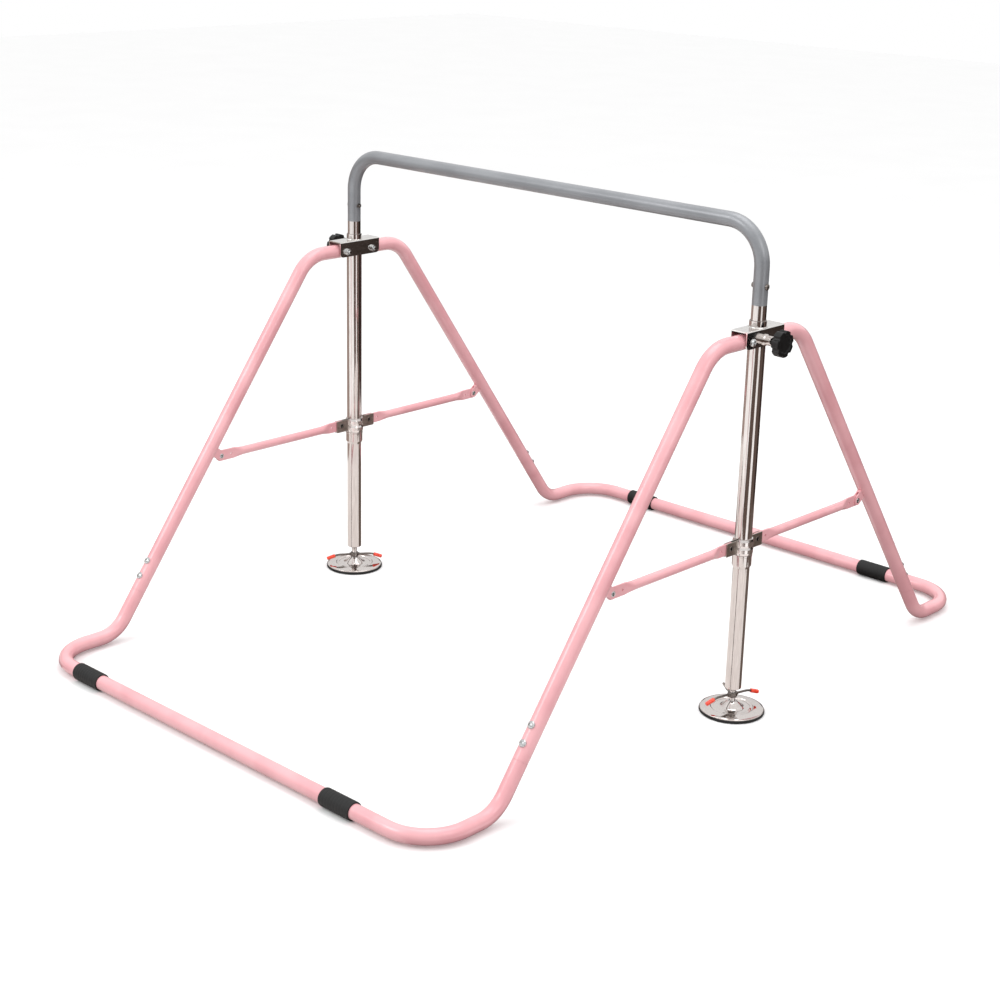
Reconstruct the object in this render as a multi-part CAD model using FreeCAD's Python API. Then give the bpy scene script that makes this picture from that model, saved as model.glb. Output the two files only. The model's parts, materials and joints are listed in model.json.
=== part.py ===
import FreeCAD, Part
import math
import os
from FreeCAD import Vector

# A folding kip bar for home gymnastics: a bar on two telescopic posts, held up by a front and a
# rear frame of bent tube. Millimetres. X runs along the bar (left is -X), Y from front to rear,
# Z up. The origin is on the floor, midway between the posts.
# Each side is drawn in its own frame first: the post stands on the origin, outboard is +X and
# the rear is +Y. It is then mirrored and moved into place.

# ---- driving dimensions ----
POST_SPACING = 1200.0
HALF_SPACING = POST_SPACING / 2
CLEARANCE = 0.3           # between surfaces that move past each other
RUNNING_FIT = 0.08        # radial, between a pin or tube and the hole that guides it
SEAT_GAP = 0.05           # radial, between fixed pieces that are pushed together

# grip bar and its telescopic legs
BAR_HEIGHT = 1045.0       # axis of the bar at its lowest setting
BAR_RADIUS = 15.5
BAR_WALL = 2.0
BAR_BEND = 85.0
BAR_LEG_END = 885.0       # where the painted legs end and the chrome tubes show
INNER_WALL = 1.5
INNER_END = 308.0
NECK_RADIUS = 13.4
NECK_WALL = 1.5
NECK_LENGTH = 65.0
BAR_BOLT_RISE = 38.0      # above the end of the painted leg
BAR_TRAVEL = 400.0
PIN_PITCH = 50.0

# posts
POST_RADIUS = 18.0
POST_WALL = 1.5
POST_TOP = 854.0
POST_JOINT = 338.0
LOWER_RADIUS = 17.5
LOWER_WALL = 1.6
LOWER_END = 54.0
SOCKET_TOP = 358.0
SOCKET_RADIUS = 20.4
BUSH_LENGTH = 60.0

# brackets
PIVOT_HEIGHT = 817.0
PIVOT_REACH = 40.0        # bracket bolts, from the post's axis
BRACKET_LENGTH = 125.0
BRACKET_TOP = 841.0
BRACKET_FOOT = 804.5
BRACKET_INSIDE = 18.1
BRACKET_SHEET = 2.5
BRACKET_CORNER = 10.0
PIVOT_BOLT_RADIUS = 4.0

# lock: boss, spring-loaded plunger and star knob
PLUNGER_RADIUS = 4.0
BOSS_RADIUS = 10.0
BOSS_BORE = 7.5
BOSS_END = 39.0
BOSS_CAP = 2.5
SHOULDER_RADIUS = 6.8
SHOULDER_START = 21.5
SHOULDER_LENGTH = 2.5
PLUNGER_TRAVEL = 8.0
SPRING_WIRE = 0.5
SPRING_RADIUS = 5.4
SPRING_TURNS = 4
KNOB_START = 53.0
KNOB_THICKNESS = 16.5
KNOB_RADIUS = 28.0
KNOB_LOBES = 7
KNOB_HOLLOW_DEPTH = 4.5
KNOB_HUB_RADIUS = 9.5
KNOB_HUB_START = 42.0

# feet
STUD_RADIUS = 6.5
STUD_TOP = 99.0
PLUG_LENGTH = 12.0
CUP_RADIUS = 70.0
CUP_THICKNESS = 6.0
CUP_LIP = 7.0
CUP_DISH = 2.5
COVER_SHEET = 1.2
COVER_EDGE = 68.5
COVER_BORE = 6.9
COVER_TOP = 24.0
HUB_RADIUS = 10.5
HUB_HEIGHT = 11.0
HUB_CENTRE = {"left": 31.0, "right": 38.5}
HANDLE_TURN = {"left": 55.0, "right": 75.0}
ARM_RADIUS = 2.6
ARM_REACH = 68.0
ARM_BREAK = 42.0          # where the arms start to droop
ARM_DROOP = 9.0
SHORT_ARM_REACH = 33.0
SHORT_ARM_RISE = 12.0
VINYL_RADIUS = 4.6
VINYL_LENGTH = 22.0

# collars that slide on the posts, and the braces between them and the legs
BRACE_HEIGHT = 380.0
COLLAR_FOOT = SOCKET_TOP + CLEARANCE
COLLAR_TOP = 393.0
COLLAR_SHEET = 2.2
EAR_REACH = 45.0
EAR_END = 61.0
EAR_TOP = COLLAR_TOP
EAR_HEIGHT = 29.0
EAR_CORNER = 1.5
BAND_SWELL = 1.6          # how far the two beads of the band stand out
BRACE_SPAN = 375.0
BRACE_RADIUS = 9.5
BRACE_WALL = 1.3
BRACE_PLATE = 4.0         # thickness of the flattened ends
BRACE_PLATE_HALF_WIDTH = 13.0
BRACE_FLAT = 38.0         # from the pivot to where the flat end begins to swell
BRACE_SWELL = 26.0
DRAIN_HOLE = 31.0         # from the pivot
DRAIN_RADIUS = 2.6
CREVICE = 1.0             # gap left inside the flattened ends
RIVET_RADIUS = 4.5        # hollow rivets at both ends of the braces
RIVET_BORE = 3.3
RIVET_FLANGE = 6.0
RIVET_FLANGE_THICKNESS = 0.9
RIVET_REACH = 30.0        # longer than any joint a rivet goes through
RIVET_WEB = 1.0           # thin floor across the bore of a rivet
CROSS_BOLT_RADIUS = 3.0   # cross bolts of the bar
SCREW_RADIUS = 3.0
SCREW_HEAD_RADIUS = 8.0
SCREW_HEAD_HEIGHT = 4.2
SCREW_DEPTH = 6.0         # how far the screws reach in from the leg's surface

# frames
LEG_RADIUS = 16.0
LEG_WALL = 1.5
LEG_ANGLE = 36.3          # from the vertical
STUB_END = 29.0           # inner end of the leg, inside the bracket
KNEE_REACH = 145.0
KNEE_BEND = 90.0
LEG_END = 107.0
LEG_GAP = 0.5
SLOT_TILT = 12.6          # the slot in the stub rises towards its open end
SLEEVE_RADIUS = 19.2
RAIL_REACH = 912.0
TOE_BEND = 80.0
CORNER_BEND = 100.0
RAIL_NECK_RADIUS = 14.3
RAIL_NECK_WALL = 1.6
RAIL_NECK_LENGTH = 95.0
SCREW_PLACES = (32.0, 70.0)   # up the leg from its lower end
LUG_OFFSET = 33.5         # pivot, from the leg's axis
LUG_HALF_WIDTH = 11.0
LUG_SHEET = 2.5
LUG_WEB = 3.0
SLEEVE_LENGTH = 84.0
SLEEVE_PLACES = {"front": (-437.0, 368.0), "rear": (-401.0, 364.0)}

ORIGIN = Vector(0, 0, 0)
ALONG_X = Vector(1, 0, 0)
ALONG_Y = Vector(0, 1, 0)
ALONG_Z = Vector(0, 0, 1)
SIDES = {"left": -1, "right": 1}
ENDS = {"front": -1, "rear": 1}

lean = math.radians(LEG_ANGLE)
LEG_DOWN = Vector(0, math.sin(lean), -math.cos(lean))
LEG_OUT = Vector(0, math.cos(lean), math.sin(lean))
KNEE = Vector(0, KNEE_REACH, PIVOT_HEIGHT)


def on_leg(height):
    """The point of the leg's axis at this height, in a side's own frame."""
    return KNEE + LEG_DOWN * ((PIVOT_HEIGHT - height) / math.cos(lean))


LEG_FOOT = on_leg(LEG_END)
BRACE_END = Vector(0, EAR_REACH + BRACE_SPAN, BRACE_HEIGHT)


# ---- general shapes ----
def rod(radius, start, end):
    run = end - start
    return Part.makeCylinder(radius, run.Length, start, run)


def tube(outer, inner, start, end):
    overrun = (end - start).normalize()
    return rod(outer, start, end).cut(rod(inner, start - overrun, end + overrun))


def block(low, high):
    size = high - low
    return Part.makeBox(size.x, size.y, size.z, low)


def slab(half_thickness, outline):
    """A plate across X with this outline of (y, z) points."""
    corners = [Vector(-half_thickness, y, z) for y, z in outline]
    face = Part.Face(Part.makePolygon(corners + corners[:1]))
    return face.extrude(ALONG_X * (2 * half_thickness))


def bent_path(points, bends):
    """Straight runs through the points, with an arc of the given radius at each inner point."""
    edges = []
    here = points[0]
    for before, corner, after, radius in zip(points, points[1:], points[2:], bends):
        back = (before - corner).normalize()
        ahead = (after - corner).normalize()
        half_opening = back.getAngle(ahead) / 2
        setback = radius / math.tan(half_opening)
        inward = (back + ahead).normalize()
        middle = corner + inward * (radius / math.sin(half_opening) - radius)
        start = corner + back * setback
        end = corner + ahead * setback
        edges.append(Part.makeLine(here, start))
        edges.append(Part.Arc(start, middle, end).toShape())
        here = end
    edges.append(Part.makeLine(here, points[-1]))
    return Part.Wire(edges)


def bent_rod(radius, points, bends):
    direction = points[1] - points[0]
    profile = Part.Wire(Part.makeCircle(radius, points[0], direction))
    return bent_path(points, bends).makePipeShell([profile], True, False)


def lengthened(points, extra):
    """The same path, run on past both ends."""
    first = points[0] + (points[0] - points[1]).normalize() * extra
    last = points[-1] + (points[-1] - points[-2]).normalize() * extra
    return [first] + points[1:-1] + [last]


def bent_tube(radius, wall, points, bends):
    bore = bent_rod(radius - wall, lengthened(points, 1.0), bends)
    return bent_rod(radius, points, bends).cut(bore)


def turned(profile):
    """A body of revolution about Z from an outline of (radius, z) points."""
    corners = [Vector(r, 0, z) for r, z in profile]
    face = Part.Face(Part.makePolygon(corners + corners[:1]))
    return face.revolve(ORIGIN, ALONG_Z, 360)


def aimed(shape, place, direction):
    """Turns a shape drawn along +Z to point along the direction, and moves it to the place."""
    moved = shape.copy()
    moved.Placement = FreeCAD.Placement(place, FreeCAD.Rotation(ALONG_Z, direction))
    return moved


def domed_head(radius, height, skirt):
    """A round head on the plane z = 0, with a skirt below it that is trimmed to its seat."""
    crown = (radius ** 2 + height ** 2) / (2 * height)
    ball = Part.makeSphere(crown, Vector(0, 0, height - crown))
    cap = ball.common(Part.makeCylinder(radius, height, ORIGIN, ALONG_Z))
    if skirt:
        cap = cap.fuse(Part.makeCylinder(radius, skirt, Vector(0, 0, -skirt), ALONG_Z))
    return cap.removeSplitter()


def hexagon(across_flats, height):
    corner = across_flats / math.sqrt(3)
    corners = [Vector(corner * math.cos(math.radians(60 * k)), corner * math.sin(math.radians(60 * k)), 0)
               for k in range(7)]
    return Part.Face(Part.makePolygon(corners)).extrude(ALONG_Z * height)


def cross_bolt(radius, head_radius, head_height, half_grip, nut, nut_height, y, z):
    """A bolt along X: domed head outboard, nut and a short end of thread inboard."""
    tail = nut_height + radius
    shank = rod(radius, Vector(-half_grip - tail, y, z), Vector(half_grip, y, z))
    head = aimed(domed_head(head_radius, head_height, 0), Vector(half_grip, y, z), ALONG_X)
    nut_shape = aimed(hexagon(nut, nut_height), Vector(-half_grip, y, z), -ALONG_X)
    return shank.fuse([head, nut_shape]).removeSplitter()


# ---- placing and saving ----
def placed(shape, side, end="rear"):
    result = shape
    if ENDS[end] < 0:
        result = result.mirror(ORIGIN, ALONG_Y)
    if SIDES[side] < 0:
        result = result.mirror(ORIGIN, ALONG_X)
    result = result.copy()
    result.translate(ALONG_X * (SIDES[side] * HALF_SPACING))
    return result


def save(name, shape):
    if not shape.isValid():
        raise ValueError(name + " is not a valid shape")
    shape.exportStep("parts/" + name + ".step")


def group(shapes):
    return Part.makeCompound(shapes)


# ---- bar ----
def grip_bar():
    low_left = Vector(-HALF_SPACING, 0, BAR_LEG_END)
    low_right = Vector(HALF_SPACING, 0, BAR_LEG_END)
    high_left = Vector(-HALF_SPACING, 0, BAR_HEIGHT)
    high_right = Vector(HALF_SPACING, 0, BAR_HEIGHT)
    bar = bent_tube(BAR_RADIUS, BAR_WALL, [low_left, high_left, high_right, low_right], [BAR_BEND] * 2)
    height = BAR_LEG_END + BAR_BOLT_RISE
    for x in (-HALF_SPACING, HALF_SPACING):
        across = ALONG_X * (2 * BAR_RADIUS)
        bar = bar.cut(rod(CROSS_BOLT_RADIUS + SEAT_GAP, Vector(x, 0, height) - across, Vector(x, 0, height) + across))
    return bar


def inner_tube():
    bore = BAR_RADIUS - INNER_WALL
    neck_bore = NECK_RADIUS - NECK_WALL
    neck_top = BAR_LEG_END + NECK_LENGTH
    shoulder = BAR_LEG_END - 2 * NECK_WALL
    body = turned([(bore, INNER_END), (BAR_RADIUS, INNER_END), (BAR_RADIUS, BAR_LEG_END), (NECK_RADIUS, BAR_LEG_END),
                   (NECK_RADIUS, neck_top), (neck_bore, neck_top), (neck_bore, shoulder), (bore, shoulder)])
    bolt = Vector(0, 0, BAR_LEG_END + BAR_BOLT_RISE)
    across = ALONG_X * (2 * BAR_RADIUS)
    body = body.cut(rod(CROSS_BOLT_RADIUS + SEAT_GAP, bolt - across, bolt + across))
    for step in range(int(BAR_TRAVEL / PIN_PITCH) + 1):
        height = PIVOT_HEIGHT - step * PIN_PITCH
        pin_hole = rod(PLUNGER_RADIUS + CLEARANCE, Vector(0, 0, height), Vector(2 * BAR_RADIUS, 0, height))
        body = body.cut(pin_hole)
    return body


def bar_bolt():
    """The head and the nut are hollowed to sit on the round leg."""
    height = BAR_LEG_END + BAR_BOLT_RISE
    bolt = cross_bolt(CROSS_BOLT_RADIUS, 7.0, 4.5, BAR_RADIUS - 1.5, 10.0, 6.0, 0, height)
    bar_leg = rod(BAR_RADIUS, Vector(0, 0, height - 2 * BAR_RADIUS), Vector(0, 0, height + 2 * BAR_RADIUS))
    shank = rod(CROSS_BOLT_RADIUS, Vector(-BAR_RADIUS, 0, height), Vector(BAR_RADIUS, 0, height))
    return bolt.cut(bar_leg).fuse(shank)


# ---- posts ----
def pin_passage(reach):
    """The hole for the plunger, from the post's axis outboard."""
    return rod(PLUNGER_RADIUS + CLEARANCE, Vector(0, 0, PIVOT_HEIGHT), Vector(reach, 0, PIVOT_HEIGHT))


def post_upper_tube():
    body = tube(POST_RADIUS, POST_RADIUS - POST_WALL, Vector(0, 0, POST_JOINT), Vector(0, 0, POST_TOP))
    return body.cut(pin_passage(2 * POST_RADIUS))


def post_lower_tube():
    bore = LOWER_RADIUS - LOWER_WALL
    socket_bore = POST_RADIUS + SEAT_GAP
    lip = 0.8
    flare = SOCKET_RADIUS - LOWER_RADIUS
    return turned([(bore, LOWER_END), (LOWER_RADIUS - 1.0, LOWER_END), (LOWER_RADIUS, LOWER_END + 1.0),
                   (LOWER_RADIUS, POST_JOINT - 4 - 2 * flare), (SOCKET_RADIUS, POST_JOINT - 4),
                   (SOCKET_RADIUS, SOCKET_TOP - 4), (SOCKET_RADIUS + lip, SOCKET_TOP - 3),
                   (SOCKET_RADIUS + lip, SOCKET_TOP), (socket_bore, SOCKET_TOP), (socket_bore, POST_JOINT),
                   (bore, POST_JOINT)])


def guide_bush():
    outer = POST_RADIUS - POST_WALL - SEAT_GAP
    top = POST_TOP - 1.0
    body = tube(outer, BAR_RADIUS + RUNNING_FIT, Vector(0, 0, top - BUSH_LENGTH), Vector(0, 0, top))
    return body.cut(pin_passage(2 * POST_RADIUS))


def post_plug():
    outer = LOWER_RADIUS - LOWER_WALL - SEAT_GAP
    return tube(outer, STUD_RADIUS + SEAT_GAP, Vector(0, 0, LOWER_END), Vector(0, 0, LOWER_END + PLUG_LENGTH))


def bracket():
    outside = BRACKET_INSIDE + BRACKET_SHEET
    half = BRACKET_LENGTH / 2
    low = Vector(-outside, -half, BRACKET_FOOT)
    shell = block(low, Vector(outside, half, BRACKET_TOP))
    top_edges = [e for e in shell.Edges if e.BoundBox.ZMin > BRACKET_TOP - 1 and e.BoundBox.YLength > half]
    shell = shell.makeFillet(BRACKET_SHEET, top_edges)
    foot_edges = [e for e in shell.Edges if e.BoundBox.ZMax < BRACKET_FOOT + 1 and e.BoundBox.XLength > outside]
    shell = shell.makeFillet(BRACKET_CORNER, foot_edges)
    inside_low = Vector(-BRACKET_INSIDE, -half - 1, BRACKET_FOOT - 1)
    shell = shell.cut(block(inside_low, Vector(BRACKET_INSIDE, half + 1, BRACKET_TOP - BRACKET_SHEET)))
    shell = shell.cut(rod(POST_RADIUS + SEAT_GAP, Vector(0, 0, BRACKET_FOOT), Vector(0, 0, BRACKET_TOP + 1)))
    for y in (-PIVOT_REACH, PIVOT_REACH):
        reach = Vector(2 * outside, y, PIVOT_HEIGHT)
        shell = shell.cut(rod(PIVOT_BOLT_RADIUS + SEAT_GAP, Vector(-2 * outside, y, PIVOT_HEIGHT), reach))
    return shell.cut(pin_passage(2 * outside))


def bracket_bolts():
    grip = BRACKET_INSIDE + BRACKET_SHEET
    return group([cross_bolt(PIVOT_BOLT_RADIUS, 8.0, 5.0, grip, 13.0, 7.0, y, PIVOT_HEIGHT)
                  for y in (-PIVOT_REACH, PIVOT_REACH)])


def lock_boss():
    start = BRACKET_INSIDE + BRACKET_SHEET
    profile = [(BOSS_BORE, start), (BOSS_RADIUS + 2, start), (BOSS_RADIUS + 2, start + 2), (BOSS_RADIUS, start + 4),
               (BOSS_RADIUS, BOSS_END - 1), (BOSS_RADIUS - 1, BOSS_END),
               (PLUNGER_RADIUS + CLEARANCE, BOSS_END), (PLUNGER_RADIUS + CLEARANCE, BOSS_END - BOSS_CAP),
               (BOSS_BORE, BOSS_END - BOSS_CAP)]
    return aimed(turned(profile), Vector(0, 0, PIVOT_HEIGHT), ALONG_X)


# ---- lock ----
def lock_plunger():
    """The tip stops just short of the inner tube, so the bar slides past it."""
    tip = BAR_RADIUS + CLEARANCE
    end = KNOB_START + KNOB_THICKNESS - 6.0
    profile = [(0, tip), (PLUNGER_RADIUS - 1, tip), (PLUNGER_RADIUS, tip + 1), (PLUNGER_RADIUS, SHOULDER_START),
               (SHOULDER_RADIUS, SHOULDER_START), (SHOULDER_RADIUS, SHOULDER_START + SHOULDER_LENGTH),
               (PLUNGER_RADIUS, SHOULDER_START + SHOULDER_LENGTH), (PLUNGER_RADIUS, end), (0, end)]
    return aimed(turned(profile), Vector(0, 0, PIVOT_HEIGHT), ALONG_X)


def lock_spring():
    start = SHOULDER_START + SHOULDER_LENGTH + SPRING_WIRE + 0.1
    length = BOSS_END - BOSS_CAP - SPRING_WIRE - 0.1 - start
    helix = Part.makeHelix(length / SPRING_TURNS, length, SPRING_RADIUS)
    profile = Part.Wire(Part.makeCircle(SPRING_WIRE, Vector(SPRING_RADIUS, 0, 0), ALONG_Y))
    coil = Part.Wire(helix.Edges).makePipeShell([profile], True, True)
    return aimed(coil, Vector(start, 0, PIVOT_HEIGHT), ALONG_X)


def lock_knob():
    """Seven lobes with round hollows between them, on a plain neck."""
    body = Part.makeCylinder(KNOB_RADIUS, KNOB_THICKNESS, Vector(0, 0, KNOB_START), ALONG_Z)
    body = body.makeFillet(2.5, [e for e in body.Edges if len(e.Vertexes) == 1])
    hollow_radius = 9.0
    for k in range(KNOB_LOBES):
        angle = math.radians(360 * (k + 0.5) / KNOB_LOBES)
        reach = KNOB_RADIUS + hollow_radius - KNOB_HOLLOW_DEPTH
        centre = Vector(reach * math.cos(angle), reach * math.sin(angle), KNOB_START - 1)
        body = body.cut(Part.makeCylinder(hollow_radius, KNOB_THICKNESS + 2, centre, ALONG_Z))
    neck = Part.makeCylinder(KNOB_HUB_RADIUS, KNOB_START - KNOB_HUB_START + 1, Vector(0, 0, KNOB_HUB_START), ALONG_Z)
    body = body.fuse(neck).removeSplitter()
    face = KNOB_START + KNOB_THICKNESS
    body = body.cut(Part.makeCylinder(KNOB_RADIUS - 8, 1.2, Vector(0, 0, face - 1.2), ALONG_Z))
    depth = KNOB_THICKNESS - 6.0 + KNOB_START - KNOB_HUB_START
    bore = Part.makeCylinder(PLUNGER_RADIUS + RUNNING_FIT, depth + CLEARANCE, Vector(0, 0, KNOB_HUB_START), ALONG_Z)
    return aimed(body.cut(bore), Vector(0, 0, PIVOT_HEIGHT), ALONG_X)


# ---- feet ----
def foot_stud():
    return Part.makeCylinder(STUD_RADIUS, STUD_TOP - CUP_THICKNESS, Vector(0, 0, CUP_THICKNESS), ALONG_Z)


def foot_cover():
    """A thin dished plate: flat rim, sunken ring and a cone that rises to the stud."""
    top = [(COVER_EDGE, 8.0), (63, 9.8), (47, 11.4), (43.5, 9.8), (26, 9.6), (20, 12.5), (13, 20.5), (9, COVER_TOP),
           (COVER_BORE, COVER_TOP)]
    under = [(r, z - COVER_SHEET) for r, z in reversed(top)]
    return turned(top + under)


def suction_cup():
    lip_start = CUP_RADIUS - CUP_LIP
    return turned([(0, CUP_DISH), (lip_start - 6, CUP_DISH), (lip_start, 0), (CUP_RADIUS - 1, 0), (CUP_RADIUS, 1),
                   (CUP_RADIUS, CUP_THICKNESS - 1.5), (CUP_RADIUS - 1.5, CUP_THICKNESS), (0, CUP_THICKNESS)])


def arm_path(side, sign):
    """The bent rod of one long arm, along +Y or -Y."""
    height = HUB_CENTRE[side]
    return [Vector(0, sign * (HUB_RADIUS - 2), height), Vector(0, sign * ARM_BREAK, height),
            Vector(0, sign * ARM_REACH, height - ARM_DROOP)]


def turned_handle(shape, side):
    """The handle's arms are drawn along Y and then turned about the stud."""
    angle = (HANDLE_TURN[side] - 90) * SIDES[side]
    return shape.rotated(ORIGIN, ALONG_Z, angle)


def foot_handle(side):
    height = HUB_CENTRE[side]
    low = Vector(0, 0, height - HUB_HEIGHT / 2)
    hub = Part.makeCylinder(HUB_RADIUS, HUB_HEIGHT, low, ALONG_Z)
    hub = hub.makeFillet(2.0, [e for e in hub.Edges if len(e.Vertexes) == 1])
    arms = [bent_rod(ARM_RADIUS, arm_path(side, sign), [10.0]) for sign in (-1, 1)]
    short_start = Vector(2 - HUB_RADIUS, 0, height)
    short_end = Vector(-SHORT_ARM_REACH, 0, height + SHORT_ARM_RISE)
    arms.append(rod(ARM_RADIUS, short_start, short_end))
    body = hub.fuse(arms)
    bore = Part.makeCylinder(STUD_RADIUS + RUNNING_FIT, HUB_HEIGHT + 2, low - ALONG_Z, ALONG_Z)
    return turned_handle(body.cut(bore).removeSplitter(), side)


def handle_caps(side):
    caps = []
    for sign in (-1, 1):
        path = arm_path(side, sign)
        droop = (path[2] - path[1]).normalize()
        outer_end = path[2] + droop * 2
        cap = rod(VINYL_RADIUS, outer_end - droop * VINYL_LENGTH, outer_end)
        cap = cap.makeFillet(1.5, [e for e in cap.Edges if len(e.Vertexes) == 1])
        arm = rod(ARM_RADIUS + SEAT_GAP, path[2] - droop * VINYL_LENGTH, path[2])
        caps.append(turned_handle(cap.cut(arm), side))
    return group(caps)


# ---- collars and braces ----
def collar_half():
    """Outboard half: half a band round the post, pressed into two beads, and two flat ears."""
    bore = POST_RADIUS + CLEARANCE
    plain = bore + COLLAR_SHEET
    swollen = plain + BAND_SWELL
    middle = (COLLAR_FOOT + COLLAR_TOP) / 2
    bead = (COLLAR_TOP - COLLAR_FOOT) / 4
    band = turned([(bore, COLLAR_FOOT), (plain, COLLAR_FOOT), (swollen, middle - bead * 1.4),
                   (swollen, middle - bead * 0.5), (plain, middle), (swollen, middle + bead * 0.5),
                   (swollen, middle + bead * 1.4), (plain, COLLAR_TOP), (bore, COLLAR_TOP)])
    inner_face = BRACE_PLATE / 2 + CLEARANCE
    reach = 2 * POST_RADIUS
    band = band.common(block(Vector(inner_face, -reach, COLLAR_FOOT - 1), Vector(reach, reach, COLLAR_TOP + 1)))
    ears = block(Vector(inner_face, -EAR_END, EAR_TOP - EAR_HEIGHT),
                 Vector(inner_face + COLLAR_SHEET, EAR_END, EAR_TOP))
    end_edges = [e for e in ears.Edges if abs(e.BoundBox.YMin) > EAR_END - 1 and e.BoundBox.XLength > 1]
    ears = ears.makeFillet(EAR_CORNER, end_edges)
    half = band.fuse(ears).cut(rod(bore, Vector(0, 0, COLLAR_FOOT - 1), Vector(0, 0, COLLAR_TOP + 1)))
    for y in (-EAR_REACH, EAR_REACH):
        half = half.cut(across_brace(RIVET_RADIUS + SEAT_GAP, y))
    return half.removeSplitter()


def across_brace(radius, y):
    """A pin through the brace's flat end, long enough to cut through everything beside it."""
    return rod(radius, Vector(-RIVET_REACH, y, BRACE_HEIGHT), Vector(RIVET_REACH, y, BRACE_HEIGHT))


def hollow_rivet(half_grip, y):
    """A tube along X with a flange rolled over at both ends."""
    end = half_grip + RIVET_FLANGE_THICKNESS
    rivet = turned([(RIVET_BORE, -end), (RIVET_FLANGE - 0.4, -end), (RIVET_FLANGE, -half_grip),
                    (RIVET_RADIUS, -half_grip), (RIVET_RADIUS, half_grip), (RIVET_FLANGE, half_grip),
                    (RIVET_FLANGE - 0.4, end), (RIVET_BORE, end)])
    web = Part.makeCylinder(RIVET_RADIUS, RIVET_WEB, Vector(0, 0, -RIVET_WEB / 2), ALONG_Z)
    return aimed(rivet.fuse(web).removeSplitter(), Vector(0, y, BRACE_HEIGHT), ALONG_X)


def collar_rivets():
    grip = BRACE_PLATE / 2 + CLEARANCE + COLLAR_SHEET
    return group([hollow_rivet(grip, y) for y in (-EAR_REACH, EAR_REACH)])


def brace_section(y, half_flat, edge_turn, edge_radius, edge_height):
    """A closed section across Y: two sides and two rounded edges, each from one corner to the next.
    The sides bulge out to half_flat, and the edges turn about points edge_height above and below."""
    corner_x = edge_radius * math.cos(edge_turn)
    corner_z = edge_height + edge_radius * math.sin(edge_turn)
    top = edge_height + edge_radius

    def point(x, z):
        return Vector(x, y, BRACE_HEIGHT + z)

    def side(sign):
        ends = [point(sign * corner_x, -sign * corner_z), point(sign * corner_x, sign * corner_z)]
        if half_flat == corner_x:
            return Part.LineSegment(*ends).toShape()
        return Part.Arc(ends[0], point(sign * half_flat, 0), ends[1]).toShape()

    def edge(sign):
        ends = [point(sign * corner_x, sign * corner_z), point(-sign * corner_x, sign * corner_z)]
        return Part.Arc(ends[0], point(0, sign * top), ends[1]).toShape()

    return Part.Wire([side(1), edge(1), side(-1), edge(-1)])


def half_brace():
    """From the collar to the middle: flat end, swelling stretch and round tube."""
    flat_end = EAR_REACH + BRACE_FLAT
    swell_end = flat_end + BRACE_SWELL
    half = BRACE_PLATE / 2
    width = BRACE_PLATE_HALF_WIDTH
    flat = brace_section(flat_end, half, 0.0, half, width - half)
    full = brace_section(swell_end, BRACE_RADIUS, math.radians(60), BRACE_RADIUS, 0.0)
    end_block = Part.Face(flat).extrude(ALONG_Y * -(BRACE_FLAT + width))
    corners = block(Vector(-BRACE_RADIUS, EAR_REACH - 2 * width, BRACE_HEIGHT - 2 * width),
                    Vector(BRACE_RADIUS, EAR_REACH, BRACE_HEIGHT + 2 * width))
    nose = rod(width, Vector(-2 * width, EAR_REACH, BRACE_HEIGHT), Vector(2 * width, EAR_REACH, BRACE_HEIGHT))
    end_block = end_block.cut(corners.cut(nose))
    swell = Part.makeLoft([flat, full], True, True)
    round_part = rod(BRACE_RADIUS, Vector(0, swell_end, BRACE_HEIGHT),
                     Vector(0, EAR_REACH + BRACE_SPAN / 2, BRACE_HEIGHT))
    return end_block.fuse([swell, round_part])


def brace():
    near = half_brace()
    far = near.mirror(Vector(0, EAR_REACH + BRACE_SPAN / 2, 0), ALONG_Y)
    body = near.fuse(far).removeSplitter()
    solid_end = BRACE_FLAT + BRACE_SWELL
    hollow_start = Vector(0, EAR_REACH + solid_end, BRACE_HEIGHT)
    hollow_end = Vector(0, EAR_REACH + BRACE_SPAN - solid_end, BRACE_HEIGHT)
    hollow = rod(BRACE_RADIUS - BRACE_WALL, hollow_start, hollow_end)
    crevice_low = Vector(-CREVICE / 2, EAR_REACH + DRAIN_HOLE, BRACE_HEIGHT - BRACE_RADIUS / 2)
    crevice_high = Vector(CREVICE / 2, EAR_REACH + BRACE_SPAN - DRAIN_HOLE, BRACE_HEIGHT + BRACE_RADIUS / 2)
    body = body.cut(hollow.fuse(block(crevice_low, crevice_high)))
    for start, inward in ((EAR_REACH, 1), (EAR_REACH + BRACE_SPAN, -1)):
        body = body.cut(across_brace(RIVET_RADIUS + RUNNING_FIT, start))
        body = body.cut(across_brace(DRAIN_RADIUS, start + inward * DRAIN_HOLE))
    return body


# ---- frames ----
def screw_seats():
    """Where the joint screws sit on the leg's upper face."""
    return [LEG_FOOT - LEG_DOWN * place for place in SCREW_PLACES]


def frame_leg():
    points = [Vector(0, STUB_END, PIVOT_HEIGHT), KNEE, LEG_FOOT - LEG_DOWN * LEG_GAP]
    leg = bent_tube(LEG_RADIUS, LEG_WALL, points, [KNEE_BEND])
    half_slot = PIVOT_BOLT_RADIUS + CLEARANCE
    length = 2 * LEG_RADIUS
    flare = 1.6
    pivot = Vector(0, PIVOT_REACH, PIVOT_HEIGHT)
    slot = slab(2 * LEG_RADIUS, [(0, -half_slot), (0, half_slot), (-length, half_slot * flare),
                                 (-length, -half_slot * flare)])
    slot = slot.fuse(rod(half_slot, ALONG_X * (-2 * LEG_RADIUS), ALONG_X * (2 * LEG_RADIUS)))
    slot.rotate(ORIGIN, ALONG_X, -SLOT_TILT)
    slot.translate(pivot)
    leg = leg.cut(slot)
    for seat in screw_seats():
        leg = leg.cut(rod(SCREW_RADIUS + SEAT_GAP, seat, seat + LEG_OUT * (2 * LEG_RADIUS)))
    return leg


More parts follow.
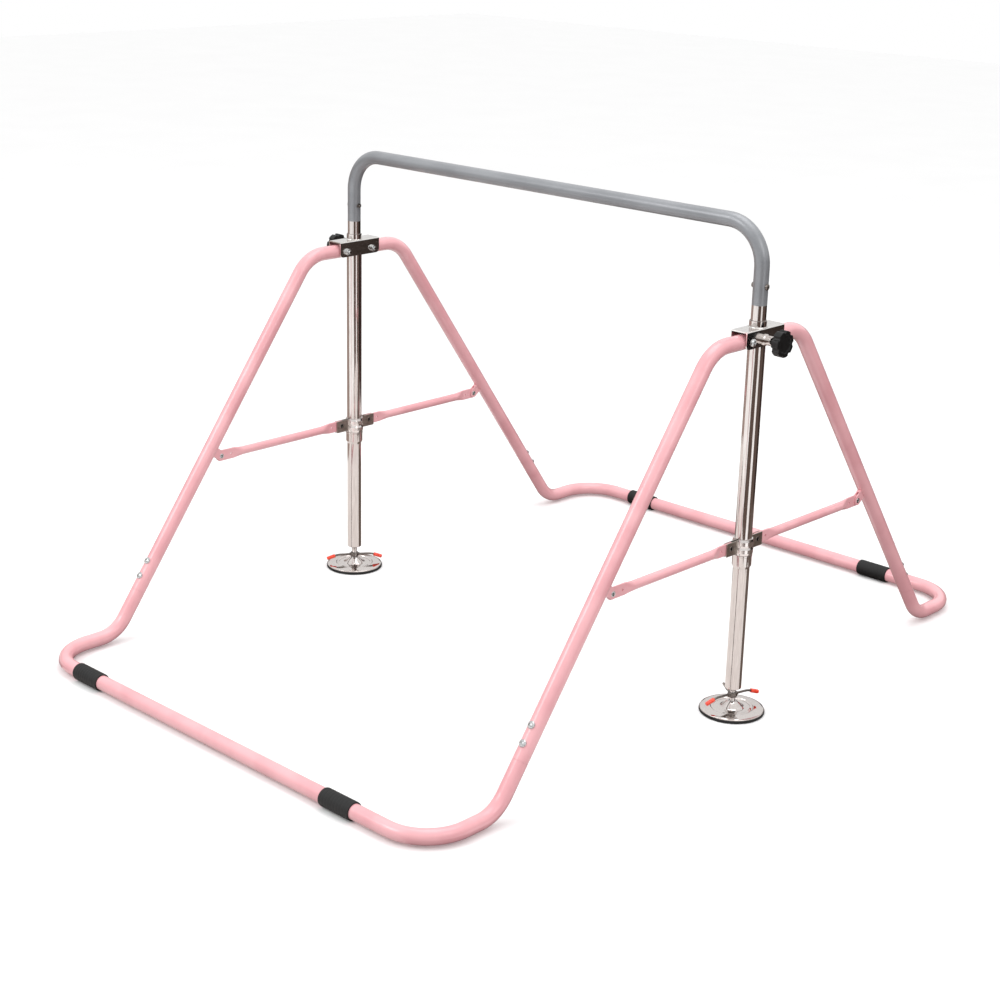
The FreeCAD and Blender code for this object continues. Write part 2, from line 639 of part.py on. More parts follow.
def base_rail():
    """One tube: necks inside both legs, toes on the floor, corners and the long rail."""
    toe = on_leg(SLEEVE_RADIUS)
    right = ALONG_X * HALF_SPACING
    corner = Vector(0, RAIL_REACH, SLEEVE_RADIUS)
    points = [LEG_FOOT + right, toe + right, corner + right, corner - right, toe - right, LEG_FOOT - right]
    bends = [TOE_BEND, CORNER_BEND, CORNER_BEND, TOE_BEND]
    bore = lengthened(points, -2 * LEG_WALL)
    body = bent_rod(LEG_RADIUS, points, bends).cut(bent_rod(LEG_RADIUS - LEG_WALL, bore, bends))
    for offset in (right, -right):
        foot = LEG_FOOT + offset
        neck_top = foot - LEG_DOWN * RAIL_NECK_LENGTH
        body = body.fuse(rod(RAIL_NECK_RADIUS, foot + LEG_DOWN * LEG_WALL, neck_top))
        neck_bore = rod(RAIL_NECK_RADIUS - RAIL_NECK_WALL, foot + LEG_DOWN * (3 * LEG_WALL), neck_top - LEG_DOWN)
        body = body.cut(neck_bore)
        for seat in screw_seats():
            hole = rod(SCREW_RADIUS + SEAT_GAP, seat + offset, seat + offset + LEG_OUT * (2 * LEG_RADIUS))
            body = body.cut(hole)
    return body


def joint_screws():
    screws = []
    leg = rod(LEG_RADIUS, LEG_FOOT, LEG_FOOT - LEG_DOWN * (2 * RAIL_NECK_LENGTH))
    skirt = 2.5
    for seat in screw_seats():
        head = domed_head(SCREW_HEAD_RADIUS, SCREW_HEAD_HEIGHT - skirt / 2, skirt)
        head = aimed(head, seat + LEG_OUT * LEG_RADIUS, LEG_OUT).cut(leg)
        shank = rod(SCREW_RADIUS, seat + LEG_OUT * (LEG_RADIUS - SCREW_DEPTH), seat + LEG_OUT * (LEG_RADIUS + 1))
        screws.append(head.fuse(shank))
    return screws


def leg_lug():
    """A clevis welded to the inner face of the leg, with the brace's end between its cheeks."""
    gap = BRACE_PLATE / 2 + CLEARANCE
    outside = gap + LUG_SHEET
    weld = BRACE_END + LEG_OUT * (LUG_OFFSET - LEG_RADIUS + 3)
    web_start = BRACE_END + LEG_OUT * (LUG_OFFSET - LEG_RADIUS - LUG_WEB)
    cheeks = rod(LUG_HALF_WIDTH, BRACE_END - ALONG_X * outside, BRACE_END + ALONG_X * outside)
    half = LEG_DOWN * LUG_HALF_WIDTH
    outline = [BRACE_END + half, BRACE_END - half, weld - half, weld + half]
    cheeks = cheeks.fuse(slab(outside, [(p.y, p.z) for p in outline])).removeSplitter()
    opening = [web_start + half * 2, web_start - half * 2, BRACE_END - half * 2 - LEG_OUT * 20,
               BRACE_END + half * 2 - LEG_OUT * 20]
    lug = cheeks.cut(slab(gap, [(p.y, p.z) for p in opening]))
    lug = lug.cut(rod(LEG_RADIUS, on_leg(500), on_leg(300)))
    return lug.cut(across_brace(RIVET_RADIUS + SEAT_GAP, BRACE_END.y))


def lug_rivet():
    return hollow_rivet(BRACE_PLATE / 2 + CLEARANCE + LUG_SHEET, BRACE_END.y)


def rubber_sleeves(end):
    sleeves = []
    for x in SLEEVE_PLACES[end]:
        start = Vector(x - SLEEVE_LENGTH / 2, RAIL_REACH, SLEEVE_RADIUS)
        body = rod(SLEEVE_RADIUS, start, start + ALONG_X * SLEEVE_LENGTH)
        body = body.makeFillet(1.0, [e for e in body.Edges if len(e.Vertexes) == 1])
        sleeves.append(body.cut(rod(LEG_RADIUS + SEAT_GAP, start - ALONG_X, start + ALONG_X * (SLEEVE_LENGTH + 1))))
    both = group(sleeves)
    return both.mirror(ORIGIN, ALONG_Y) if ENDS[end] < 0 else both


# ---- assembly ----
os.makedirs("parts", exist_ok=True)

save("grip_bar", grip_bar())
save("bar_bolts", group([placed(bar_bolt(), side) for side in SIDES]))

for side in SIDES:
    one_of_each = {
        "inner_tube": inner_tube(), "post_upper_tube": post_upper_tube(), "post_lower_tube": post_lower_tube(),
        "guide_bush": guide_bush(), "post_plug": post_plug(), "bracket": bracket(),
        "bracket_bolts": bracket_bolts(), "lock_boss": lock_boss(), "lock_plunger": lock_plunger(),
        "lock_spring": lock_spring(), "lock_knob": lock_knob(), "foot_stud": foot_stud(),
        "foot_cover": foot_cover(), "suction_cup": suction_cup(), "foot_handle": foot_handle(side),
        "handle_caps": handle_caps(side), "collar_outer_half": collar_half(),
        "collar_inner_half": collar_half().mirror(ORIGIN, ALONG_X), "collar_rivets": collar_rivets(),
    }
    for name, shape in one_of_each.items():
        save(side + "_" + name, placed(shape, side))

for end in ENDS:
    for side in SIDES:
        save(side + "_" + end + "_brace", placed(brace(), side, end))
        save(end + "_" + side + "_leg", placed(frame_leg(), side, end))
        save(end + "_" + side + "_lug", placed(leg_lug(), side, end))
    rail = base_rail()
    save(end + "_base_rail", rail.mirror(ORIGIN, ALONG_Y) if ENDS[end] < 0 else rail)
    save(end + "_joint_screws", group([placed(s, side, end) for side in SIDES for s in joint_screws()]))
    save(end + "_lug_rivets", group([placed(lug_rivet(), side, end) for side in SIDES]))
    save(end + "_rubber_sleeves", rubber_sleeves(end))
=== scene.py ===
import json
import math
import bpy
from mathutils import Matrix, Vector


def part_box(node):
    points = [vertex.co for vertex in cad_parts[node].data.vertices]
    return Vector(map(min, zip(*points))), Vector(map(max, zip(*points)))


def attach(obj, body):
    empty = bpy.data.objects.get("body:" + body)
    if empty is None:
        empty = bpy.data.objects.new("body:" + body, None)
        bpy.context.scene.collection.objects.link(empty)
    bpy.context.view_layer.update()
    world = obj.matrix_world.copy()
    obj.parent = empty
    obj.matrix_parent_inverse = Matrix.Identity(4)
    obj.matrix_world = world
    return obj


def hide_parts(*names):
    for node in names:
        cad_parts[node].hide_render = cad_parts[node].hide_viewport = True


# The looks of a folding kip bar: painted tubes, chromed posts, brackets, collars and braces, and
# the small turned, pressed and moulded pieces. Places are metres in the frame. Outlines of turned
# pieces are millimetres, drawn about their own axis.
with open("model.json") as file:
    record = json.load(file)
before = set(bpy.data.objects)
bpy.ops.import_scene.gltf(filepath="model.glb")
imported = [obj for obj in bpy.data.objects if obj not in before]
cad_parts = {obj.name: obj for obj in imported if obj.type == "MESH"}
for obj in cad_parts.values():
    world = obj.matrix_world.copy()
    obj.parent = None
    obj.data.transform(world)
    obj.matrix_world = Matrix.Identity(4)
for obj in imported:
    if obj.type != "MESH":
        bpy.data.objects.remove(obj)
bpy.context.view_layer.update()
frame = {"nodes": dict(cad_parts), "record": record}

MM = 0.001
SIDES = {"left": -1, "right": 1}
ENDS = {"front": -1, "rear": 1}
ALONG_X = Vector((1, 0, 0))
ALONG_Y = Vector((0, 1, 0))
ALONG_Z = Vector((0, 0, 1))
CORNER_STEPS = 5
RING_STEPS = 72
FINE_RING_STEPS = 144

# millimetres
LEG_RADIUS = 16.0
LEG_SLOPE = math.radians(36.3)    # of the straight legs, away from upright
LOWER_SCREW = 32.0                # joint screws, up the leg from its foot
UPPER_SCREW = 70.0
RIVET_ROLL = 0.9                  # thickness of a rolled-over rivet end
RIVET_BORE = 3.3
RIVET_BARREL = 4.5
RIVET_FLANGE = 6.0
STUD_RADIUS = 6.5
SHEET = 1.2                       # the pressed foot covers
COVER_BORE = 6.9
HANDLE_HEIGHT = {"left": 31.0, "right": 38.5}
HANDLE_TURN = {"left": 55, "right": 75}
ARM_RADIUS = 2.6
ARM_BEND = 42                     # where an arm starts to droop
ARM_REACH = 68
ARM_DROOP = 9
KNOB_NECK = 11.0
KNOB_LOBES = 7
SLEEVE_LENGTH = 84.0
SLEEVE_RADIUS = 19.2
SLEEVE_BORE = 16.1


def middle(node):
    low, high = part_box(node)
    return (low + high) / 2


# ---- shader maths ----
class Value:
    """A shader socket. An expression on values adds its Math nodes."""

    def __init__(self, recipe, socket):
        self.recipe = recipe
        self.socket = socket

    def maths(self, operation, first, second=0.0):
        return self.recipe.node("ShaderNodeMath", {"operation": operation}, {0: first, 1: second})

    def __add__(self, other):
        return self.maths("ADD", self, other)

    def __sub__(self, other):
        return self.maths("SUBTRACT", self, other)

    def __rsub__(self, other):
        return self.maths("SUBTRACT", other, self)

    def __mul__(self, other):
        return self.maths("MULTIPLY", self, other)

    __radd__ = __add__
    __rmul__ = __mul__


class Recipe:
    """A material with one Principled shader, and a short way to add nodes to it."""

    def __init__(self, name, **constants):
        self.material = bpy.data.materials.new(name)
        self.material.use_nodes = True
        self.tree = self.material.node_tree
        self.shader = self.tree.nodes["Principled BSDF"]
        for socket, value in constants.items():
            self.shader.inputs[socket.replace("_", " ")].default_value = value

    def node(self, kind, settings=None, inputs=None, output=0):
        made = self.tree.nodes.new(kind)
        for name, value in (settings or {}).items():
            setattr(made, name, value)
        for key, value in (inputs or {}).items():
            self.feed(made.inputs[key], value)
        return Value(self, made.outputs[output])

    def feed(self, socket, value):
        if isinstance(value, Value):
            self.tree.links.new(value.socket, socket)
        else:
            socket.default_value = value

    def shade(self, **inputs):
        for name, value in inputs.items():
            self.feed(self.shader.inputs[name.replace("_", " ")], value)

    def place(self, stretch=(1, 1, 1)):
        """Where a point is in the frame, in metres, with each axis scaled."""
        here = self.node("ShaderNodeTexCoord", output="Object")
        return self.node("ShaderNodeMapping", {"vector_type": "POINT"}, {"Vector": here, "Scale": stretch})

    def noise(self, size, detail=2.0, stretch=(1, 1, 1), roughness=0.5):
        """Noise with features of about this size in metres."""
        settings = {"noise_dimensions": "3D"}
        inputs = {"Vector": self.place(stretch), "Scale": 1 / size, "Detail": detail, "Roughness": roughness}
        return self.node("ShaderNodeTexNoise", settings, inputs, "Fac")

    def step(self, value, start, end, low=0.0, high=1.0):
        """Rises smoothly from low at start to high at end."""
        settings = {"interpolation_type": "SMOOTHSTEP"}
        inputs = {"Value": value, "From Min": start, "From Max": end, "To Min": low, "To Max": high}
        return self.node("ShaderNodeMapRange", settings, inputs)

    def mix(self, share, first, second, blend="MIX"):
        settings = {"data_type": "RGBA", "blend_type": blend}
        return self.node("ShaderNodeMix", settings, {0: share, 6: first, 7: second}, 2)

    def bump(self, height, depth, strength=1.0):
        """A surface that stands this many metres out where the height is 1."""
        inputs = {"Height": height, "Distance": depth, "Strength": strength}
        self.shade(Normal=self.node("ShaderNodeBump", inputs=inputs))


def rgb(red, green, blue):
    """A colour given as it looks on a screen, 0 to 255, as linear light."""
    parts = []
    for level in (red / 255, green / 255, blue / 255):
        parts.append(level / 12.92 if level <= 0.04045 else ((level + 0.055) / 1.055) ** 2.4)
    return (*parts, 1.0)


# ---- finishes ----
CHROME_LIGHT = rgb(226, 220, 217)
CHROME_DARK = rgb(196, 188, 184)
NICKEL_LIGHT = rgb(242, 240, 238)
NICKEL_DARK = rgb(216, 212, 208)
ZINC_LIGHT = rgb(226, 227, 228)
ZINC_DARK = rgb(168, 170, 170)
ALONG_POST = (1, 1, 0.02)
ALONG_RAIL = (1, 0.03, 1)


def pink_powder_coat():
    """Gloss pink powder paint with orange peel, fine speckle and scuffs where it meets the floor."""
    coat = Recipe("pink powder coat", Coat_Roughness=0.12, Coat_IOR=1.5, IOR=1.48)
    cloud = coat.noise(0.09, 3)
    speckle = coat.noise(0.0011, 2)
    colour = coat.mix(coat.step(cloud, 0.35, 0.65), rgb(234, 166, 172), rgb(244, 180, 185))
    colour = coat.mix(coat.step(speckle, 0.62, 0.8, 0.0, 0.35), colour, rgb(250, 200, 204))
    height = coat.node("ShaderNodeSeparateXYZ", inputs={"Vector": coat.place()}, output="Z")
    rub = coat.noise(0.006, 4, (0.25, 1, 1))
    scuff = coat.step(height, 0.0075, 0.004) * coat.step(rub, 0.45, 0.62)
    nick = coat.step(coat.noise(0.0045, 3), 0.78, 0.8)
    worn = coat.mix(scuff * 0.6, colour, rgb(190, 150, 152))
    coat.shade(Base_Color=coat.mix(nick * 0.5, worn, rgb(205, 165, 168)))
    coat.shade(Roughness=0.3 + coat.noise(0.02, 3) * 0.12 + scuff * 0.3, Coat_Weight=0.75 - scuff * 0.5)
    coat.bump(coat.noise(0.0022, 2) * 0.7 + speckle * 0.3 - nick * 0.8, 0.00006)
    return coat.material


def grey_paint():
    """Metallic grey paint: fine flakes, a satin gloss and faint marks from hands."""
    coat = Recipe("metallic grey paint", Coat_Roughness=0.2, Coat_IOR=1.5)
    flake = coat.noise(0.0007, 2)
    cloud = coat.noise(0.05, 3, (0.4, 1, 1))
    colour = coat.mix(coat.step(cloud, 0.35, 0.65), rgb(136, 138, 142), rgb(148, 150, 154))
    colour = coat.mix(coat.step(flake, 0.56, 0.72), colour, rgb(168, 170, 174))
    colour = coat.mix(coat.step(flake, 0.42, 0.3), colour, rgb(104, 106, 110))
    hands = coat.step(coat.noise(0.03, 4), 0.55, 0.75)
    coat.shade(Base_Color=colour, Metallic=0.25 + coat.step(flake, 0.5, 0.7) * 0.35)
    coat.shade(Roughness=0.34 + hands * 0.1 + coat.noise(0.004, 2) * 0.06, Coat_Weight=0.35 - hands * 0.15)
    coat.bump(coat.noise(0.002, 2) * 0.7 + flake * 0.3, 0.00005)
    return coat.material


def plated(name, light, dark, gloss, grain, waviness):
    """Bright plate over drawn or rolled metal: fine lines along the grain, smears and a few pits."""
    plate = Recipe(name, Metallic=1.0)
    lines = plate.noise(0.0008, 3, grain, 0.6)
    smear = plate.noise(0.025, 4)
    pits = plate.step(plate.noise(0.0028, 3), 0.74, 0.8)
    colour = plate.mix(plate.step(lines, 0.3, 0.7), dark, light)
    colour = plate.mix(pits * 0.5, colour, rgb(120, 108, 98))
    plate.shade(Base_Color=colour)
    plate.shade(Roughness=gloss + plate.step(smear, 0.5, 0.8) * 0.08 + lines * 0.04 + pits * 0.2)
    plate.bump(plate.noise(0.03, 2, grain) + lines * 0.05 - pits * 0.1, waviness)
    return plate.material


def brushed(name, light, dark, roughness, grain):
    """Rolled sheet with visible brush lines, darker stains and a dull edge."""
    steel = Recipe(name, Metallic=1.0)
    lines = steel.noise(0.0006, 4, grain, 0.7)
    stain = steel.noise(0.009, 4)
    colour = steel.mix(steel.step(lines, 0.25, 0.75), dark, light)
    colour = steel.mix(steel.step(stain, 0.55, 0.8, 0.0, 0.45), colour, dark)
    steel.shade(Base_Color=colour, Roughness=roughness + lines * 0.14 + steel.step(stain, 0.5, 0.8) * 0.1)
    steel.bump(lines * 0.6 + steel.noise(0.004, 2) * 0.4, 0.00005)
    return steel.material


def collar_steel():
    """Plated sheet: the band round the post is polished bright, the flat ears are dull and brown."""
    steel = Recipe("worn plated sheet", Metallic=1.0)
    lines = steel.noise(0.0006, 4, ALONG_RAIL, 0.7)
    stain = steel.noise(0.009, 4)
    across = steel.node("ShaderNodeSeparateXYZ", inputs={"Vector": steel.place()}, output="Y")
    band = steel.step(across * across, 0.025 ** 2, 0.0225 ** 2)
    dull = steel.mix(steel.step(lines, 0.25, 0.75), rgb(150, 141, 134), rgb(206, 198, 190))
    dull = steel.mix(steel.step(stain, 0.55, 0.8, 0.0, 0.45), dull, rgb(128, 119, 112))
    steel.shade(Base_Color=steel.mix(band, dull, CHROME_LIGHT))
    steel.shade(Roughness=0.24 + lines * 0.14 - band * 0.18)
    steel.bump(lines * 0.6 + steel.noise(0.004, 2) * 0.4, 0.00004)
    return steel.material


def black_rubber():
    """Moulded rubber: a fine matt grain, pale dust in the hollows and a soft rubbed sheen."""
    rubber = Recipe("black rubber", IOR=1.5)
    grain = rubber.noise(0.0009, 3)
    dust = rubber.step(rubber.noise(0.012, 5), 0.52, 0.78)
    colour = rubber.mix(grain, rgb(10, 10, 10), rgb(24, 24, 25))
    rubber.shade(Base_Color=rubber.mix(dust * 0.2, colour, rgb(70, 68, 66)))
    rubber.shade(Roughness=0.62 + dust * 0.2 + grain * 0.12)
    rubber.bump(grain * 0.5 + rubber.noise(0.003, 2) * 0.5, 0.00012)
    return rubber.material


def black_plastic():
    """Moulded plastic with a fine spark-eroded texture, shinier where fingers rub it."""
    plastic = Recipe("black moulded plastic", IOR=1.46)
    grain = plastic.noise(0.0006, 3)
    rubbed = plastic.step(plastic.noise(0.014, 3), 0.5, 0.72)
    colour = plastic.mix(grain, rgb(3, 3, 4), rgb(9, 9, 10))
    plastic.shade(Base_Color=plastic.mix(rubbed * 0.4, colour, rgb(15, 15, 16)))
    plastic.shade(Roughness=0.42 + grain * 0.12 - rubbed * 0.12)
    plastic.bump(grain, 0.00007)
    return plastic.material


def red_vinyl():
    """Dipped vinyl: thick and glossy, with slow waves and a slightly darker core."""
    vinyl = Recipe("dipped red vinyl", Coat_Roughness=0.06, IOR=1.5)
    wave = vinyl.noise(0.006, 3)
    colour = vinyl.mix(vinyl.step(wave, 0.3, 0.7), rgb(232, 46, 20), rgb(252, 74, 34))
    vinyl.shade(Base_Color=colour, Roughness=0.28 + wave * 0.14, Coat_Weight=0.5 + wave * 0.3)
    vinyl.bump(vinyl.noise(0.003, 2) + wave, 0.00012)
    return vinyl.material


def floor_paint():
    """Pale studio floor with a barely visible mottle."""
    paint = Recipe("pale floor", Specular_IOR_Level=0.1)
    mottle = paint.noise(0.4, 3)
    paint.shade(Base_Color=paint.mix(mottle, rgb(250, 250, 250), rgb(254, 254, 254)))
    paint.shade(Roughness=0.85 + mottle * 0.1)
    return paint.material


finishes = {
    "pink_powder_coat": pink_powder_coat(),
    "grey_paint": grey_paint(),
    "chrome": plated("chrome plate", CHROME_LIGHT, CHROME_DARK, 0.05, ALONG_POST, 0.0002),
    "bracket_steel": plated("nickelled sheet", NICKEL_LIGHT, NICKEL_DARK, 0.12, ALONG_RAIL, 0.00008),
    "collar_steel": collar_steel(),
    "dark_plate": plated("darkened plate", rgb(140, 133, 128), rgb(88, 82, 78), 0.14, (1, 1, 1), 0.00008),
    "zinc_steel": plated("bright zinc plate", ZINC_LIGHT, ZINC_DARK, 0.16, (1, 1, 1), 0.00006),
    "spring_steel": brushed("drawn spring wire", rgb(160, 160, 162), rgb(88, 88, 90), 0.25, (1, 1, 1)),
    "black_rubber": black_rubber(),
    "black_plastic": black_plastic(),
    "red_vinyl": red_vinyl(),
}


# ---- shapes: lists of vertices and faces, in millimetres ----
def smooth_corners(points, closed=False):
    """Replaces each corner of (point, cut) pairs by a curve that starts and ends `cut` from it."""
    curve = []
    for k, (here, cut) in enumerate(points):
        if not cut or (not closed and k in (0, len(points) - 1)):
            curve.append(here)
            continue
        before = points[k - 1][0]
        after = points[(k + 1) % len(points)][0]
        start = here + (before - here).normalized() * min(cut, (before - here).length / 2)
        end = here + (after - here).normalized() * min(cut, (after - here).length / 2)
        for step in range(CORNER_STEPS + 1):
            t = step / CORNER_STEPS
            curve.append(start * (1 - t) ** 2 + here * 2 * t * (1 - t) + end * t * t)
    return curve


def lathe(outline, closed=False, form=None, steps=RING_STEPS):
    """Turns (radius, height, corner) points about Z. `form` may change a point: it takes its
    radius, height and angle, and gives a new radius and height."""
    rings = smooth_corners([(Vector((r, z)), corner) for r, z, corner in outline], closed)
    vertices = []
    starts = []
    for radius, height in rings:
        starts.append(len(vertices))
        for k in range(1 if radius < 1e-6 else steps):
            angle = 2 * math.pi * k / steps
            r, z = form(radius, height, angle) if form else (radius, height)
            vertices.append(Vector((r * math.cos(angle), r * math.sin(angle), z)))
    faces = []
    pairs = [(k, k + 1) for k in range(len(rings) - 1)]
    if closed:
        pairs.append((len(rings) - 1, 0))
    for low, high in pairs:
        for k in range(steps):
            after = (k + 1) % steps
            face = []
            for ring, turns in ((low, (k, after)), (high, (after, k))):
                if rings[ring].x < 1e-6:
                    face.append(starts[ring])
                else:
                    face.extend(starts[ring] + turn for turn in turns)
            faces.append(face)
    return vertices, faces


def rod(points, radius, steps=20, closed=False, swell=None):
    """A round rod along a list of points. An open rod has rounded ends; `swell` scales the radius
    by the distance along it."""
    count = len(points)
    vertices = []
    faces = []
    normal = None
    travelled = 0.0
    for k, here in enumerate(points):
        before = points[k - 1] if closed or k else here
        after = points[(k + 1) % count] if closed or k < count - 1 else here
        tangent = (after - before).normalized()
        if normal is None:
            normal = tangent.orthogonal().normalized()
        normal = (normal - tangent * normal.dot(tangent)).normalized()
        across = tangent.cross(normal)
        travelled += (here - points[k - 1]).length if k else 0.0
        local = radius * (swell(travelled) if swell else 1.0)
        rings = [(here, local)]
        if not closed and k == 0:
            rings = [(here - tangent * local * 0.45, local * 0.55),
                     (here - tangent * local * 0.2, local * 0.87), (here, local)]
        if not closed and k == count - 1:
            rings = [(here, local), (here + tangent * local * 0.2, local * 0.87),
                     (here + tangent * local * 0.45, local * 0.55)]
        for centre, reach in rings:
            for turn in range(steps):
                angle = 2 * math.pi * turn / steps
                vertices.append(centre + (normal * math.cos(angle) + across * math.sin(angle)) * reach)
    ring_count = len(vertices) // steps
    for ring in range(ring_count if closed else ring_count - 1):
        low = ring * steps
        high = (ring + 1) % ring_count * steps
        for k in range(steps):
            after = (k + 1) % steps
            faces.append([low + k, low + after, high + after, high + k])
    if not closed:
        faces.append(list(range(steps)))
        faces.append(list(range(len(vertices) - steps, len(vertices))))
    return vertices, faces


def joined(*shapes):
    vertices = []
    faces = []
    for more_vertices, more_faces in shapes:
        start = len(vertices)
        vertices.extend(more_vertices)
        faces.extend([start + index for index in face] for face in more_faces)
    return vertices, faces


def moved(shape, matrix):
    vertices, faces = shape
    return [matrix @ point for point in vertices], faces


def facing(direction, turn=0.0):
    """Turns +Z to a direction, after a turn about +Z."""
    return direction.to_track_quat("Z", "Y").to_matrix().to_4x4() @ Matrix.Rotation(turn, 4, "Z")


def at(place, direction=ALONG_Z, turn=0.0):
    """Sets a shape drawn about +Z, in millimetres, on a place in the frame."""
    return Matrix.Translation(place) @ facing(direction, turn) @ Matrix.Scale(MM, 4)


def piece(name, shape, finish, body, stands_for=()):
    """Makes a piece from a shape in metres, in place, and lets it ride on its body."""
    vertices, faces = shape
    mesh = bpy.data.meshes.new(name)
    mesh.from_pydata(vertices, [], faces)
    mesh.validate()
    mesh.shade_smooth()
    mesh.materials.append(finishes[finish])
    made = bpy.data.objects.new(name, mesh)
    bpy.context.scene.collection.objects.link(made)
    evened = made.modifiers.new("even shading", "WEIGHTED_NORMAL")
    evened.keep_sharp = True
    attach(made, body)
    if stands_for:
        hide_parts(*stands_for)
    return made


# ---- small hardware ----
def dome(radius, height, skirt, steps=12):
    """Outline of a domed head on a short skirt, from its foot to its top."""
    sphere = (radius ** 2 + height ** 2) / (2 * height)
    spread = math.asin(radius / sphere)
    outline = [(0, 0, 0), (radius - 0.3, 0, 0), (radius, 0.3, 0), (radius, skirt, 0)]
    for step in range(1, steps + 1):
        angle = spread * (1 - step / steps)
        outline.append((sphere * math.sin(angle), skirt + height - sphere * (1 - math.cos(angle)), 0))
    return outline


def smooth_step(value, start, end):
    share = min(1.0, max(0.0, (value - start) / (end - start)))
    return share * share * (3 - 2 * share)


def cross_recess(half_width, reach, depth, top):
    """A form that presses a cross into the top of a head."""
    def form(radius, height, angle):
        x = abs(radius * math.cos(angle))
        y = abs(radius * math.sin(angle))
        inside = max(min(half_width - y, reach - x), min(half_width - x, reach - y))
        pressed = smooth_step(inside, -0.25, 0.25) if height > top else 0.0
        return radius, height - depth * pressed
    return form


def hexagon_form(across_flats, foot, top, chamfer):
    """A form that turns a round outline into a hexagon with chamfered corners."""
    def form(radius, height, angle):
        sector = (angle + math.pi / 6) % (math.pi / 3) - math.pi / 6
        flat = across_flats / 2 / math.cos(sector)
        edge = min(height - foot, top - height)
        allowed = across_flats / 2 * 1.01 + max(0.0, edge) / math.tan(chamfer)
        outer = min(flat, allowed)
        return (outer if radius > across_flats / 2 - 0.6 else radius), height
    return form


def nut(across_flats, thickness, bore):
    half = across_flats / 2
    outline = [(bore, 0, 0), (half - 0.3, 0, 0)]
    steps = 14
    for step in range(steps + 1):
        outline.append((half, thickness * step / steps, 0))
    outline += [(half - 0.3, thickness, 0), (bore + 0.7, thickness, 0), (bore, thickness - 0.7, 0)]
    return lathe(outline, True, hexagon_form(across_flats, 0.0, thickness, math.radians(30)))


def threaded(radius, start, end, pitch, depth):
    """A rod with a helical thread and chamfered ends, closed at both."""
    steps_per_turn = 6
    count = int((end - start) / pitch * steps_per_turn)
    outline = [(0, start, 0)]
    for step in range(count + 1):
        outline.append((radius, start + (end - start) * step / count, 0))
    outline.append((0, end, 0))

    def form(at_radius, height, angle):
        if at_radius < 1e-6:
            return at_radius, height
        phase = (height / pitch - angle / (2 * math.pi)) % 1.0
        groove = depth * abs(2 * phase - 1)
        chamfer = max(0.0, depth * 1.5 - min(height - start, end - height))
        return at_radius - max(groove, chamfer), height

    return lathe(outline, False, form, 48)


def fixed_bolt(head, shank_radius, half_grip, nut_size, nut_height, end):
    """A bolt along Z about its own middle: the head is at +Z, the nut at -Z."""
    below = -half_grip - nut_height
    shank = lathe([(0, -half_grip, 0), (shank_radius, -half_grip, 0), (shank_radius, half_grip, 0),
                   (0, half_grip, 0)])
    tail = threaded(shank_radius, below - end, -half_grip, 1.25, 0.35)
    nut_place = Matrix.Translation(ALONG_Z * -half_grip) @ Matrix.Rotation(math.pi, 4, "X")
    turned_nut = moved(nut(nut_size, nut_height, shank_radius), nut_place)
    return joined(moved(head, Matrix.Translation(ALONG_Z * half_grip)), shank, turned_nut, tail)


def bracket_bolt_head():
    """A domed head with a six-sided socket."""
    def socket(radius, height, angle):
        sector = (angle + math.pi / 6) % (math.pi / 3) - math.pi / 6
        inside = 2.6 / math.cos(sector) - radius
        return radius, height - (2.6 * smooth_step(inside, -0.15, 0.15) if height > 2.2 else 0.0)
    return lathe(dome(8.0, 3.4, 1.6, 22), False, socket)


def bracket_hardware(side):
    """Two bolts through the bracket and the legs' ends, heads outboard and nuts inboard."""
    node = side + "_bracket_bolts"
    low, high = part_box(node)
    shell_low, shell_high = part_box(side + "_bracket")
    centre = (shell_low + shell_high) / 2
    half_grip = (shell_high.x - shell_low.x) / 2 / MM
    half_head = (high.z - low.z) / 2
    outward = ALONG_X * SIDES[side]
    shapes = []
    for turn, y in ((0.35, low.y + half_head), (1.1, high.y - half_head)):
        bolt = fixed_bolt(bracket_bolt_head(), 4.0, half_grip, 13.0, 6.5, 4.5)
        shapes.append(moved(bolt, at(Vector((centre.x, y, (low.z + high.z) / 2)), outward, turn)))
    piece(side + "_bracket_fasteners", joined(*shapes), "zinc_steel", "posts", [node])


def bar_hardware():
    """A cross bolt through each leg of the bar."""
    low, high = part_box("bar_bolts")
    height = (low.z + high.z) / 2
    shapes = []
    for side, sign in SIDES.items():
        place = Vector((middle(side + "_inner_tube").x, 0, height))
        head = lathe(dome(6.6, 2.8, 2.2, 16), False, cross_recess(0.7, 3.2, 1.6, 2.4))
        bolt = fixed_bolt(head, 3.0, 14.6, 10.0, 5.0, 2.0)
        shapes.append(moved(bolt, at(place, ALONG_X * sign)))
    piece("bar_cross_bolts", joined(*shapes), "dark_plate", "bar", ["bar_bolts"])


